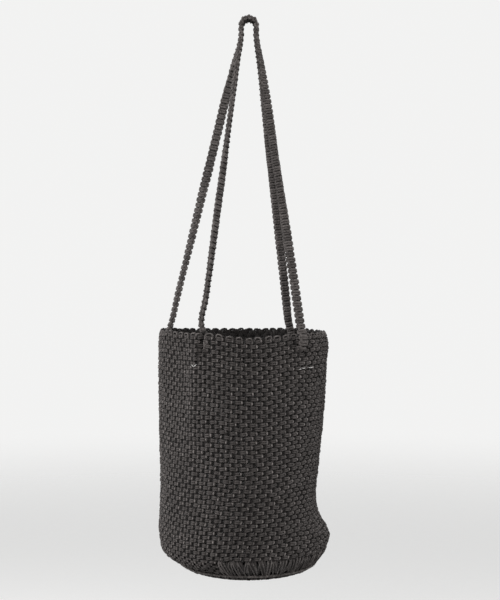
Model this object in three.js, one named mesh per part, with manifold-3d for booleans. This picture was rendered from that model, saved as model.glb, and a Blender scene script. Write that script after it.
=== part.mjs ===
// A knotted cotton-cord drawstring bag, hanging open from its two straps.
// Millimetres, +Z up, the front of the bag towards -Y and its left towards -X.
// The origin is the hang point: the underside of the straps where they bear on whatever carries the bag.

import * as THREE from "three";
import { mergeVertices } from "three/addons/utils/BufferGeometryUtils.js";
import Module from "manifold-3d";

const wasm = await Module();
wasm.setup();

// Cord and knots
const CORD = 3; // diameter of the cord that everything is knotted from
const KNOT_COLUMNS = 52; // square knots in one round of the wall
const WALL = 2 * CORD; // a tight square knot is about two cords thick
const GAP = 0.3; // clearance between neighbouring pieces

// Bag
const BAG_X = -6; // the bag's upright axis hangs a little left of the hang point
const LOOP_HEIGHT = 5; // cord loops that stand above the first row of knots
const FOOT_TOP_Z = -677; // lowest row of knots
const FOOT_Z = -699; // the straight cords under the knots end at the base here
const FOOT_RADIUS = 82;
const FOOT_WALL = 5;
const BASE_X = -2; // the base hangs a little right of the bag's axis
const BASE_RING_CORD = 4.4; // the hitched ring round the base is fatter than a bare cord
const BASE_WALL = 5;
const BASE_SAG = 12; // the middle of the base hangs this far below its edge
const BASE_ROUNDING = 2.5; // power of the sag's curve: 2 is a plain bowl, and more is flatter in the middle

// Outer size of the wall at a few heights, measured from the bag's axis to each side.
// The right side is rounded at the rim and pinched in above the base.
const WALL_SECTIONS = [
  { z: -396, left: 108.5, right: 101.0, front: 107.5, back: 107.5 },
  { z: -404, left: 110.0, right: 106.5, front: 108.0, back: 108.0 },
  { z: -412, left: 110.2, right: 108.3, front: 108.4, back: 108.4 },
  { z: -440, left: 110.5, right: 107.0, front: 109.5, back: 109.5 },
  { z: -480, left: 110.5, right: 105.0, front: 111.5, back: 111.5 },
  { z: -523, left: 110.0, right: 102.0, front: 113.5, back: 113.5 },
  { z: -575, left: 109.0, right: 96.5, front: 116.0, back: 116.0 },
  { z: -608, left: 109.0, right: 93.6, front: 117.0, back: 117.0 },
  { z: -628, left: 110.0, right: 95.5, front: 116.0, back: 116.0 },
  { z: -642, left: 111.0, right: 100.5, front: 114.0, back: 114.0 },
  { z: -654, left: 111.5, right: 107.0, front: 112.0, back: 112.0 },
  { z: -665, left: 110.8, right: 110.5, front: 110.8, back: 110.8 },
  { z: -677, left: 108.4, right: 108.0, front: 108.4, back: 108.4 },
];

// Height of the rim, in degrees round from the front towards the right: it sags between the strap ends.
const RIM_HEIGHTS = [
  { angle: -95, z: -398.5 },
  { angle: -29, z: -400.5 },
  { angle: 5, z: -406.0 },
  { angle: 38, z: -401.0 },
  { angle: 90, z: -400.0 },
  { angle: 141, z: -398.5 },
  { angle: 203, z: -400.5 },
];

// The wall is drawn into one upright pleat where the left end of the front strap goes in.
const PLEAT_ANGLE = -29;
const PLEAT_WIDTH = 6;
const PLEAT_DEPTH = 6;
const PLEAT_FOOT_Z = -452; // the pleat has died out here
const PLEAT_LIP = 3; // the wall stands proud beside the pleat, on its right

// Straps: flat bars of square knots
const STRAP_WIDTH = 10.7;
const STRAP_THICK = 8;
const STRAP_BEVEL = 2.2;
const HANG_RADIUS = 5.5; // inside of the straps' bend at the hang point
const STRAP_PITCH = 12; // the two straps lie side by side at the hang point
const SLOT_CLEARANCE = 0.5;
const KNOT_RADIUS = 8; // stopper knot inside the wall

// Strap ends, left and right for each strap: angle is the place on the rim. The straps twist on their way
// there: turn is the way that the flat bar's width faces at a height, in degrees from +X.
const STRAP_ENDS = {
  front: {
    left: {
      angle: -29.3,
      seat: "pleat",
      turns: [
        { z: -8, turn: 90 },
        { z: -150, turn: 90 },
        { z: -220, turn: 48 },
        { z: -330, turn: 64 },
        { z: -400, turn: 66 },
      ],
    },
    right: {
      angle: 39.5,
      seat: "outside",
      turns: [
        { z: -8, turn: 90 },
        { z: -60, turn: 65 },
        { z: -110, turn: 12 },
        { z: -290, turn: 8 },
        { z: -345, turn: 48 },
        { z: -395, turn: 39.5 },
      ],
    },
  },
  back: {
    left: {
      angle: -95,
      seat: "inside",
      turns: [
        { z: -8, turn: 90 },
        { z: -45, turn: 75 },
        { z: -95, turn: 5 },
        { z: -180, turn: -2 },
        { z: -225, turn: -68 },
        { z: -375, turn: -74 },
        { z: -398, turn: -95 },
      ],
    },
    right: {
      angle: 139,
      seat: "inside",
      turns: [
        { z: -8, turn: 90 },
        { z: -90, turn: 105 },
        { z: -190, turn: 160 },
        { z: -370, turn: 165 },
        { z: -398, turn: 139 },
      ],
    },
  },
};

// Rows down the end of a strap: offset is outwards from the unpleated wall to the middle of the strap.
const SEAT_ROWS = {
  outside: [
    { z: -398, offset: 4.4 },
    { z: -406, offset: 4.1 },
    { z: -422, offset: 3.8 },
    { z: -428, offset: 1.6 },
    { z: -430.5, offset: -3 },
    { z: -432, offset: -9 },
    { z: -433, offset: -15 },
  ],
  pleat: [
    { z: -395, offset: -2 },
    { z: -402, offset: -5.5 },
    { z: -410, offset: -11.5 },
    { z: -419, offset: -16.5 },
    { z: -432, offset: -18 },
    { z: -446, offset: -18 },
  ],
  inside: [
    { z: -396, offset: -11.4 },
    { z: -404, offset: -10.9 },
    { z: -418, offset: -10.5 },
    { z: -432, offset: -10.5 },
  ],
};

const radians = THREE.MathUtils.degToRad;
const CORD_GREY = 0x4a4746;

// One-dimensional interpolation through a table's rows by a Catmull-Rom curve.
function throughRows(rows, key, at, column) {
  const ascending = rows[0][key] < rows[rows.length - 1][key];
  const sorted = ascending ? rows : [...rows].reverse();
  const x = THREE.MathUtils.clamp(at, sorted[0][key], sorted[sorted.length - 1][key]);
  const last = sorted.findIndex((row) => row[key] >= x);
  const b = Math.max(last, 1);
  const [p0, p1, p2, p3] = [b - 2, b - 1, b, b + 1].map(
    (i) => sorted[THREE.MathUtils.clamp(i, 0, sorted.length - 1)],
  );
  const t = (x - p1[key]) / (p2[key] - p1[key]);
  const slope = (q, r) => (r[column] - q[column]) / Math.max(r[key] - q[key], 1e-6);
  const span = p2[key] - p1[key];
  const m1 = slope(p0, p2) * span;
  const m2 = slope(p1, p3) * span;
  const t2 = t * t;
  const t3 = t2 * t;
  const values = (2 * t3 - 3 * t2 + 1) * p1[column] + (3 * t2 - 2 * t3) * p2[column];
  const slopes = (t3 - 2 * t2 + t) * m1 + (t3 - t2) * m2;
  return values + slopes;
}

// Height of the rim at an angle. The table repeats after a full turn, with smooth swings between its rows.
function rimHeight(angle) {
  const rows = [...RIM_HEIGHTS, { ...RIM_HEIGHTS[0], angle: RIM_HEIGHTS[0].angle + 360 }];
  const first = rows[0].angle;
  const turned = first + THREE.MathUtils.euclideanModulo(angle - first, 360);
  const i = rows.findIndex((row) => row.angle > turned);
  const t = (turned - rows[i - 1].angle) / (rows[i].angle - rows[i - 1].angle);
  return THREE.MathUtils.lerp(rows[i - 1].z, rows[i].z, THREE.MathUtils.smoothstep(t, 0, 1));
}

// How far the pleat moves the wall at an angle and height, outwards.
function pleatOffset(angle, z) {
  const along = THREE.MathUtils.smoothstep(z, PLEAT_FOOT_Z, rimHeight(PLEAT_ANGLE));
  const turn = THREE.MathUtils.euclideanModulo(angle - PLEAT_ANGLE + 180, 360) - 180;
  const across = radians(turn) * WALL_SECTIONS[0].front;
  const groove = Math.exp(-((across / (PLEAT_WIDTH / 2)) ** 4));
  const lip = Math.exp(-(((across - PLEAT_WIDTH) / (PLEAT_WIDTH / 2)) ** 2));
  return along * (PLEAT_LIP * lip - PLEAT_DEPTH * groove);
}

// Distance of the wall's outer face from the bag's axis before it is pleated: four quarter ellipses.
function plainRadius(angle, z) {
  const a = radians(angle);
  const side = throughRows(WALL_SECTIONS, "z", z, Math.sin(a) < 0 ? "left" : "right");
  const face = throughRows(WALL_SECTIONS, "z", z, Math.cos(a) > 0 ? "front" : "back");
  return 1 / Math.hypot(Math.sin(a) / side, Math.cos(a) / face);
}

function wallRadius(angle, z) {
  return plainRadius(angle, z) + pleatOffset(angle, z);
}

// A point at an angle round an upright axis, a distance from it and a height.
function around(angle, radius, z, axisX = BAG_X) {
  const a = radians(angle);
  return new THREE.Vector3(axisX + radius * Math.sin(a), -radius * Math.cos(a), z);
}

// Turns the triangles round if they point inwards.
function facingOut(positions, triangles) {
  const corner = (i) => new THREE.Vector3().fromArray(positions, 3 * i);
  let volume = 0;
  for (let i = 0; i < triangles.length; i += 3) {
    const [a, b, c] = triangles.slice(i, i + 3).map(corner);
    volume += a.dot(b.cross(c));
  }
  if (volume < 0) triangles.reverse();
  return new THREE.BufferGeometry()
    .setAttribute("position", new THREE.Float32BufferAttribute(positions, 3))
    .setIndex(triangles);
}

// Two triangles on each cell of a grid of points; the grid closes on itself across and, if asked, along.
function gridTriangles(alongCount, acrossCount, closedAlong) {
  const triangles = [];
  const point = (i, j) => (i % alongCount) * acrossCount + (j % acrossCount);
  for (let i = 0; i < alongCount - (closedAlong ? 0 : 1); i++) {
    for (let j = 0; j < acrossCount; j++) {
      const [a, b, c, d] = [point(i, j), point(i + 1, j), point(i + 1, j + 1), point(i, j + 1)];
      triangles.push(a, b, c, a, c, d);
    }
  }
  return triangles;
}

// A closed ring: the same closed section at each angle round the bag.
function ringGeometry(angles, sectionAt) {
  const sections = angles.map(sectionAt);
  const positions = sections.flat().flatMap((p) => p.toArray());
  return facingOut(positions, gridTriangles(angles.length, sections[0].length, true));
}

const evenAngles = (count) => Array.from({ length: count }, (_, i) => (360 * i) / count);

function solidFrom(geometry) {
  const bare = geometry.clone();
  bare.deleteAttribute("normal");
  bare.deleteAttribute("uv");
  const merged = mergeVertices(bare, 1e-4);
  const vertProperties = new Float32Array(merged.attributes.position.array);
  return new wasm.Manifold(
    new wasm.Mesh({ numProp: 3, vertProperties, triVerts: new Uint32Array(merged.index.array) }),
  );
}

function geometryFrom(solid) {
  const mesh = solid.getMesh();
  return new THREE.BufferGeometry()
    .setAttribute("position", new THREE.BufferAttribute(mesh.vertProperties, 3))
    .setIndex(new THREE.BufferAttribute(mesh.triVerts, 1));
}

// Bag wall: a tube of knots, open at the top and at the base

const WALL_COLUMNS = 72;
const PLEAT_COLUMNS = 10;
const PLEAT_REACH = 10; // degrees each side of the pleat that get closer columns

function wallAngles() {
  const clear = evenAngles(WALL_COLUMNS).filter(
    (a) => Math.abs(THREE.MathUtils.euclideanModulo(a - PLEAT_ANGLE + 180, 360) - 180) > PLEAT_REACH,
  );
  const close = Array.from({ length: PLEAT_COLUMNS + 1 }, (_, i) => {
    const angle = PLEAT_ANGLE + PLEAT_REACH * ((2 * i) / PLEAT_COLUMNS - 1);
    return THREE.MathUtils.euclideanModulo(angle, 360);
  });
  return [...clear, ...close].sort((a, b) => a - b);
}

const SHOULDER = 9; // the wall is rounded in towards the rim over this height

function wallGeometry() {
  const lowestShoulder = Math.min(...RIM_HEIGHTS.map((row) => row.z)) - LOOP_HEIGHT - SHOULDER;
  const rows = WALL_SECTIONS.map((section) => section.z).filter((z) => z < lowestShoulder && z > FOOT_TOP_Z);
  return ringGeometry(wallAngles(), (angle) => {
    const top = rimHeight(angle) - LOOP_HEIGHT;
    const heights = [top, top - SHOULDER, ...rows, FOOT_TOP_Z + GAP];
    const outer = heights.map((z) => around(angle, wallRadius(angle, z), z));
    const inner = heights.map((z) => around(angle, wallRadius(angle, z) - WALL, z));
    return [...outer, ...inner.reverse()];
  });
}

// Edge loops: the folded cords that make the scalloped rim, a loop above each column of knots

const LOOP_STEPS = 4;
const LOOP_DIP = 0.7; // share of the loop's height that is open between two loops
const LOOP_INSET = 0.5; // the loops stand this far inside the wall's faces
const LOOP_CROWN = 2; // thickness of a loop's crown

function edgeGeometry() {
  return ringGeometry(evenAngles(KNOT_COLUMNS * LOOP_STEPS), (angle) => {
    const foot = rimHeight(angle) - LOOP_HEIGHT + GAP;
    const phase = (angle / 360) * KNOT_COLUMNS * Math.PI;
    const crown = foot + LOOP_HEIGHT * (1 - LOOP_DIP * (1 - Math.abs(Math.sin(phase))));
    const shoulder = THREE.MathUtils.lerp(foot, crown, 0.6);
    const outer = (z) => wallRadius(angle, z) - LOOP_INSET;
    const inner = (z) => wallRadius(angle, z) - WALL + LOOP_INSET;
    const middle = (outer(crown) + inner(crown)) / 2;
    return [
      around(angle, outer(foot), foot),
      around(angle, outer(shoulder), shoulder),
      around(angle, middle + LOOP_CROWN / 2, crown),
      around(angle, middle - LOOP_CROWN / 2, crown),
      around(angle, inner(shoulder), shoulder),
      around(angle, inner(foot), foot),
    ];
  });
}

// Foot band: the straight cords that turn in under the wall towards the base

const FOOT_COLUMNS = 64;
const FOOT_STEPS = 3;
const FOOT_CURVE = 2.4; // power of the turn inwards: the cords hang straight down first and then turn in

function footGeometry() {
  return ringGeometry(evenAngles(FOOT_COLUMNS), (angle) => {
    const top = wallRadius(angle, FOOT_TOP_Z);
    const faces = Array.from({ length: FOOT_STEPS + 1 }, (_, i) => {
      const share = i / FOOT_STEPS;
      const inward = share ** FOOT_CURVE;
      return {
        z: THREE.MathUtils.lerp(FOOT_TOP_Z, FOOT_Z, share),
        radius: THREE.MathUtils.lerp(top, FOOT_RADIUS, inward),
        axisX: THREE.MathUtils.lerp(BAG_X, BASE_X, inward),
      };
    });
    const outer = faces.map(({ radius, z, axisX }) => around(angle, radius, z, axisX));
    const inner = faces.map(({ radius, z, axisX }) => around(angle, radius - FOOT_WALL, z, axisX));
    return [...outer, ...inner.reverse()];
  });
}

// Base ring: the round of hitches where the wall's cords meet the base

const RING_SIDES = 8;
const RING_RADIUS = FOOT_RADIUS - FOOT_WALL / 2;
const RING_Z = FOOT_Z - GAP - BASE_RING_CORD / 2;

function baseRingGeometry() {
  return ringGeometry(evenAngles(FOOT_COLUMNS), (angle) =>
    Array.from({ length: RING_SIDES }, (_, i) => {
      const turn = (2 * Math.PI * (i + 0.5)) / RING_SIDES;
      const half = BASE_RING_CORD / 2 / Math.cos(Math.PI / RING_SIDES);
      return around(angle, RING_RADIUS + half * Math.cos(turn), RING_Z + half * Math.sin(turn), BASE_X);
    }),
  );
}

// Base: a round of knots that sags below the ring

const BASE_SEGMENTS = 48;
const BASE_STEPS = 6;

function baseGeometry() {
  const edge = RING_RADIUS - BASE_RING_CORD / 2 - GAP;
  const faceZ = (radius) => RING_Z - BASE_WALL / 2 - BASE_SAG * (1 - (radius / edge) ** BASE_ROUNDING);
  const radii = Array.from({ length: BASE_STEPS + 1 }, (_, i) => (edge * i) / BASE_STEPS);
  const under = radii.map((radius) => new THREE.Vector2(radius, faceZ(radius)));
  const over = radii.map((radius) => new THREE.Vector2(radius, faceZ(radius) + BASE_WALL));
  return new THREE.LatheGeometry([...under, ...over.reverse()], BASE_SEGMENTS).rotateX(Math.PI / 2);
}

// Straps: each runs from its left end in the wall, over the hang point and down to its right end

const STRAND_STEPS = 14;
const BEND_STEPS = 6;

const turnAt = (end, z) => throughRows(end.turns, "z", z, "turn");

// One strand from the hang point to its end. A station is a place and the way that the bar's width faces.
function strandStations(end, side, lane) {
  const rows = SEAT_ROWS[end.seat];
  const seat = rows.map(({ z, offset }) => ({
    point: around(end.angle, plainRadius(end.angle, z) + offset, z),
    turn: turnAt(end, z),
  }));
  const lift = HANG_RADIUS + STRAP_THICK / 2;
  const start = new THREE.Vector3(side * lift, lane, -HANG_RADIUS - lift);
  const free = Array.from({ length: STRAND_STEPS }, (_, i) => {
    const point = start.clone().lerp(seat[0].point, i / STRAND_STEPS);
    return { point, turn: turnAt(end, point.z) };
  });
  const bend = Array.from({ length: BEND_STEPS }, (_, i) => {
    const a = (Math.PI / 2) * ((i + 0.5) / BEND_STEPS);
    const point = new THREE.Vector3(side * lift * Math.sin(a), lane, lift * Math.cos(a) - HANG_RADIUS);
    return { point, turn: turnAt(end, point.z) };
  });
  return [...bend, ...free, ...seat];
}

// A flat bar with bevelled edges through the stations, and grown for the clearance round it.
function barGeometry(stations, grow = 0) {
  const halfWidth = STRAP_WIDTH / 2 + grow;
  const halfThick = STRAP_THICK / 2 + grow;
  const outline = [
    [halfWidth, halfThick - STRAP_BEVEL],
    [halfWidth - STRAP_BEVEL, halfThick],
    [STRAP_BEVEL - halfWidth, halfThick],
    [-halfWidth, halfThick - STRAP_BEVEL],
    [-halfWidth, STRAP_BEVEL - halfThick],
    [STRAP_BEVEL - halfWidth, -halfThick],
    [halfWidth - STRAP_BEVEL, -halfThick],
    [halfWidth, STRAP_BEVEL - halfThick],
  ];
  const positions = [];
  stations.forEach(({ point, turn }, i) => {
    const before = stations[Math.max(i - 1, 0)].point;
    const after = stations[Math.min(i + 1, stations.length - 1)].point;
    const tangent = after.clone().sub(before).normalize();
    const faced = new THREE.Vector3(Math.cos(radians(turn)), Math.sin(radians(turn)), 0);
    const width = faced.addScaledVector(tangent, -faced.dot(tangent)).normalize();
    const thick = tangent.clone().cross(width);
    for (const [w, t] of outline) {
      positions.push(...point.clone().addScaledVector(width, w).addScaledVector(thick, t).toArray());
    }
  });
  const triangles = gridTriangles(stations.length, outline.length, false);
  const lastRow = (stations.length - 1) * outline.length;
  for (let j = 1; j < outline.length - 1; j++) {
    triangles.push(0, j, j + 1, lastRow, lastRow + j + 1, lastRow + j);
  }
  return facingOut(positions, triangles);
}

// A round stopper knot where a threaded end comes through the wall.
function stopperSolid(station) {
  const ball = new THREE.SphereGeometry(KNOT_RADIUS, 12, 8);
  return solidFrom(ball.translate(...station.point.toArray()));
}

function strap(ends, lane) {
  const left = strandStations(ends.left, -1, lane);
  const right = strandStations(ends.right, 1, lane);
  const stations = [...left.toReversed(), ...right];
  let solid = solidFrom(barGeometry(stations));
  for (const [end, strand] of [[ends.left, left], [ends.right, right]]) {
    if (end.seat !== "inside") solid = solid.add(stopperSolid(strand[strand.length - 1]));
  }
  return { solid, stations };
}

const frontStrap = strap(STRAP_ENDS.front, -STRAP_PITCH / 2);
const backStrap = strap(STRAP_ENDS.back, STRAP_PITCH / 2);

// The front strap goes through the wall and beside the loops of the rim, which leave room for it.
const strapRoom = solidFrom(barGeometry(frontStrap.stations, SLOT_CLEARANCE));
const wall = solidFrom(wallGeometry()).subtract(strapRoom);
const edge = solidFrom(edgeGeometry()).subtract(strapRoom);

function piece(name, geometry, shade) {
  const material = new THREE.MeshStandardMaterial({ color: shade, roughness: 0.9, metalness: 0 });
  const mesh = new THREE.Mesh(geometry, material);
  mesh.name = name;
  return mesh;
}

const base = piece("base", baseGeometry(), CORD_GREY);
base.position.x = BASE_X;

const bag = new THREE.Group();
bag.name = "drawstring_bag";
bag.add(
  piece("bag_wall", geometryFrom(wall), CORD_GREY),
  piece("edge_loops", geometryFrom(edge), CORD_GREY),
  piece("foot_band", footGeometry(), CORD_GREY),
  piece("base_ring", baseRingGeometry(), CORD_GREY),
  base,
  piece("strap_front", geometryFrom(frontStrap.solid), CORD_GREY),
  piece("strap_back", geometryFrom(backStrap.solid), CORD_GREY),
);

export default bag;
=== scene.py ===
"""The looks of a knotted cotton-cord drawstring bag that hangs open from two straps, round its solids."""

import math
from collections import namedtuple

import bpy
import numpy as np
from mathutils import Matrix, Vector


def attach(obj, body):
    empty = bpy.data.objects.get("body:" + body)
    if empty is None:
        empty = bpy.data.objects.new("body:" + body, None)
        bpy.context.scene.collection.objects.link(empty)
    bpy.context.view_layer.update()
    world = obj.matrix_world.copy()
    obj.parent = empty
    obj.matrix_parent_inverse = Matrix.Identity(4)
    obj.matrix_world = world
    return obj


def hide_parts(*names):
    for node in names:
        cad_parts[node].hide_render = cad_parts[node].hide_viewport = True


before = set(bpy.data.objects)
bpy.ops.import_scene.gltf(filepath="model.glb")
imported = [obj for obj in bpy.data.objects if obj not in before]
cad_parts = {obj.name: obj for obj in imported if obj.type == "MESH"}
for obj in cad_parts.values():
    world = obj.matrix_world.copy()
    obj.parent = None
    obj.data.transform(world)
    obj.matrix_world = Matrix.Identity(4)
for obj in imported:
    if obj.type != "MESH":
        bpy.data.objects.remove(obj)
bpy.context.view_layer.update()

# Shape of the bag: sizes in millimetres, and angles in degrees from the front towards the right

MM = 0.001  # in metres, which meshes are made in

BAG_X = -6.0
WALL = 6.0  # thickness of the cloth
FOOT_TOP_Z = -677.0
FOOT_Z = -699.0
FOOT_RADIUS = 88.0
FOOT_CURVE = 1.8  # power of the foot's turn towards the base
BASE_X = -1.0
BASE_RADIUS = 86.0
BASE_EDGE_Z = -703.0
BASE_EDGE = 0.06  # share of the base's radius over which its edge drops
BASE_SAG = 12.0
BASE_ROUNDING = 2.5  # power of the sag
BASE_MIDDLE = 0.2  # radius at which the base's cloth ends

WallSection = namedtuple("WallSection", "z left right front back")
WALL_SECTIONS = [
    WallSection(-396, 108.5, 101.0, 107.5, 107.5),
    WallSection(-404, 111.0, 107.6, 108.0, 108.0),
    WallSection(-412, 111.4, 109.6, 108.4, 108.4),
    WallSection(-440, 111.8, 108.4, 109.5, 109.5),
    WallSection(-480, 111.7, 106.2, 111.5, 111.5),
    WallSection(-523, 111.0, 103.0, 113.5, 113.5),
    WallSection(-575, 109.6, 97.3, 116.0, 116.0),
    WallSection(-608, 109.2, 94.2, 117.0, 117.0),
    WallSection(-628, 110.0, 95.5, 116.0, 116.0),
    WallSection(-642, 111.0, 100.5, 114.0, 114.0),
    WallSection(-654, 111.3, 108.0, 112.0, 112.0),
    WallSection(-665, 110.3, 111.5, 110.8, 110.8),
    WallSection(-677, 108.4, 108.0, 108.4, 108.4),
]

RimHeight = namedtuple("RimHeight", "angle z")
RIM_HEIGHTS = [
    RimHeight(-95, -397.5),
    RimHeight(-29, -400.5),
    RimHeight(5, -406.0),
    RimHeight(38, -401.0),
    RimHeight(90, -400.0),
    RimHeight(141, -398.5),
    RimHeight(203, -400.5),
    RimHeight(265, -397.5),
]

PLEAT_ANGLE = -27.3
PLEAT_LEAN = 0.085  # degrees to the left for each millimetre down
PLEAT_WIDTH = 6.0
PLEAT_DEPTH = 14.0
PLEAT_STEEP = 4  # power of the groove's sides
PLEAT_FOOT_Z = -446.0
PLEAT_PULL = 0.3  # share of the cloth's width that is drawn in at the pleat
PLEAT_LIP = 3.0
PLEAT_LIP_AT = 4.8  # from the middle of the pleat to the crest of its lip
PLEAT_LIP_HALF = 2.0  # half width of the lip, and of the light painted on it
PLEAT_SHADE = 2.6  # half width of the painted dark line of shade at the rim
PLEAT_SHADE_FOOT = 2.1  # and at its foot
PLEAT_SHADE_STEEP = 8  # power of the painted dark line's edges
PLEAT_SHADE_Z = -429.0
PLEAT_TAPER = 6.0
PLEAT_SHADE_TOP = (-3.0, 2.0)  # heights from the rim between which the painted dark line ends

FOLD_DEPTH = 8.0  # how far the cloth falls back at the left of the soft fold below the pleat
FOLD_ANGLES = (-35.0, -46.0, -50.0, -88.0)  # where it starts to fall back, is deepest, and is round again
FOLD_TOP_Z = -440.0
FOLD_FOOT_Z = -600.0
FOLD_AT_RIM = 0.4  # share of the depth that is left at the rim
TWIST = 7.5  # degrees that the low wall hangs round to the left
TWIST_TOP_Z = -560.0
TWIST_POWER = 1.5

# Lengths down the cloth from the rim: the knotted wall, the foot's cords, and the base to its middle

WALL_LENGTH = 277.0
FOOT_LENGTH = 36.0
BASE_LENGTH = BASE_RADIUS
RING_DOWN = -(WALL_LENGTH + FOOT_LENGTH)
CLOTH_LOW = RING_DOWN - BASE_LENGTH
CLOTH_ABOVE = 10.0
CLOTH_RADIUS = 107.0
CLOTH_ROUND = 2 * math.pi * CLOTH_RADIUS
CLOTH_STEP = 0.4  # between the places that give the cloth's outward direction
SHEET_STEPS = 12  # of the helper sheet, for each column of knots
SHEET_ROWS = 170

# Straps

STRAP_WIDTH = 11.0
STRAP_THICK = 8.2
STRAP_KNOT = 7.0  # length of one square knot
STRAP_PITCH = 12.0
STRAP_LOOSE = 0.2
STRAP_SEED = 61
HANG_RADIUS = 5.5
BEND_STATIONS = 6
FREE_STATIONS = 10
STRAP_STEP = 1.5
RIBBON = 20.0  # width of the helper strip that a strap's knots are laid along

Turn = namedtuple("Turn", "z angle")  # the way a strap's width faces at a height: 0 is flat to the front
StrapEnd = namedtuple("StrapEnd", "angle seat turns")  # where it meets the rim, how it sits, and its turns
Strap = namedtuple("Strap", "left right lane")  # its ends, and its place front to back at the hang point
STRAPS = {
    "strap_front": Strap(
        left=StrapEnd(-29.8, "pleat", [
            Turn(-8, 90), Turn(-150, 85), Turn(-220, 40), Turn(-320, 70), Turn(-400, 84),
        ]),
        right=StrapEnd(39.5, "outside", [
            Turn(-8, 90), Turn(-60, 65), Turn(-110, 12), Turn(-290, 8), Turn(-325, 36),
            Turn(-345, 42), Turn(-365, 26), Turn(-380, 16), Turn(-400, 39.5),
        ]),
        lane=-STRAP_PITCH / 2,
    ),
    "strap_back": Strap(
        left=StrapEnd(-95, "inside", [
            Turn(-8, 90), Turn(-45, 75), Turn(-95, 5), Turn(-180, -2), Turn(-215, -32),
            Turn(-250, -48), Turn(-300, -60), Turn(-345, -72), Turn(-375, -64), Turn(-398, -80),
        ]),
        right=StrapEnd(139, "inside", [
            Turn(-8, 90), Turn(-90, 108), Turn(-150, 155), Turn(-190, 166), Turn(-370, 178), Turn(-398, 164),
        ]),
        lane=STRAP_PITCH / 2,
    ),
}

SeatRow = namedtuple("SeatRow", "z offset")  # how far out of the wall's face the strap's middle lies
SEAT_ROWS = {
    "outside": [
        SeatRow(-398, 5.2),
        SeatRow(-405, 5.2),
        SeatRow(-414, 5.0),
        SeatRow(-419, 3.2),
        SeatRow(-421.5, -1.5),
        SeatRow(-423, -8),
        SeatRow(-424, -14.5),
    ],
    "pleat": [
        SeatRow(-395, -5.5),
        SeatRow(-400, -9.5),
        SeatRow(-406, -15),
        SeatRow(-413, -18),
        SeatRow(-432, -18),
        SeatRow(-446, -18),
    ],
    "inside": [
        SeatRow(-396, -11.4),
        SeatRow(-404, -10.9),
        SeatRow(-418, -10.5),
        SeatRow(-432, -10.5),
    ],
}
STOPPER_REACH = 1.7625  # scale of the overhand knot on an end that goes through the wall
STOPPER_LIFT = 1.4
STOPPER_CORD = 2.5
STOPPER_STATIONS = 40

# How the knots and cords are laid round the cloth

KNOT_COLUMNS = 56
KNOT_ROWS = 51
KNOT_BANDS = 5  # the wall is made in bands of rows, so that no piece is too heavy
KNOT_STAGGER = 0.5  # of a column, in every second row
KNOT_STRETCH = 1.04
LOOP_HEIGHT = 5.0
ROW_RISE = 1.2  # the first row of knots crowds the feet of the loops
ROW_PITCH = (WALL_LENGTH - LOOP_HEIGHT + ROW_RISE) / KNOT_ROWS
FIRST_ROW = ROW_RISE - LOOP_HEIGHT - ROW_PITCH / 2
LOW_ROWS = 6
SLACK_DROP = 2.0

# Columns in a whole round, width of each, how far from even they lie, in millimetres, and the seed of chance
Lay = namedtuple("Lay", "columns stretch loose seed")
WALL_LAY = Lay(KNOT_COLUMNS, KNOT_STRETCH, 0.8, 11)  # each band has the next seed
PLEAT_LAY = Lay(KNOT_COLUMNS, KNOT_STRETCH, 0.8, 17)
LOW_LAY = Lay(KNOT_COLUMNS, KNOT_STRETCH, 0.8, 18)
RIM_LAY = Lay(KNOT_COLUMNS, 1.0, 0.9, 21)
PUSHED_LAY = Lay(KNOT_COLUMNS + 3, 1.0, 0.5, 22)
FOOT_LAY = Lay(164, 1.0, 0.8, 31)
SLACK_LAY = Lay(60, 1.0, 0.9, 33)
RING_LAY = Lay(150, 1.15, 0.25, 41)

Arc = namedtuple("Arc", "first count")  # columns, counted from the back round by the left
PLEAT_ARC = Arc(22, 4)  # the knots that bend into the pleat
BESIDE_PLEAT = Arc(PLEAT_ARC.first + PLEAT_ARC.count, KNOT_COLUMNS - PLEAT_ARC.count)
RIM_ARC = Arc(24, 55)  # all the rim's loops but one, which the strap in the pleat pushes aside
PUSHED_ARC = Arc(24, 1)
LOW_ARC = Arc(9, 17)  # the left front, where the knots go on down over the foot
FOOT_ARC = Arc(77, 117)  # the rest of the foot
SLACK_ARC = Arc(28, 42)

BASE_FIRST = 5.0  # from the ring to the first round of the base's knots
BASE_LAST = 6.0  # least radius of a round
BASE_PITCH = 5.6
BASE_KNOT = 11.5  # width of a knot
BASE_LEAST = 6  # fewest knots in a round
BASE_STRETCH = 0.95
BASE_LOOSE = 0.4
BASE_SEED = 51
BASE_ROUNDS = int((BASE_LENGTH - BASE_FIRST - BASE_LAST) / BASE_PITCH) + 1

# How loosely knots lie: each is shifted, leans and differs in size by chance, and neighbours drift together

DRIFT_SCALE = 2.2
DRIFT_HEIGHT = 10  # units of the drift's pattern to a metre of height
DRIFT_ACROSS = 5
DRIFT_UP = 6
LOOSE_LEAN = 160  # radians for each metre of looseness
LOOSE_TURN = 1.4  # the lean in the cloth's own plane, where the other two have a half
LOOSE_SIZE = 120.0  # share of a knot's size for each metre of looseness

# Painted light and shade: shares of open light that are painted into the colour of the faces of knots and
# cords

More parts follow.
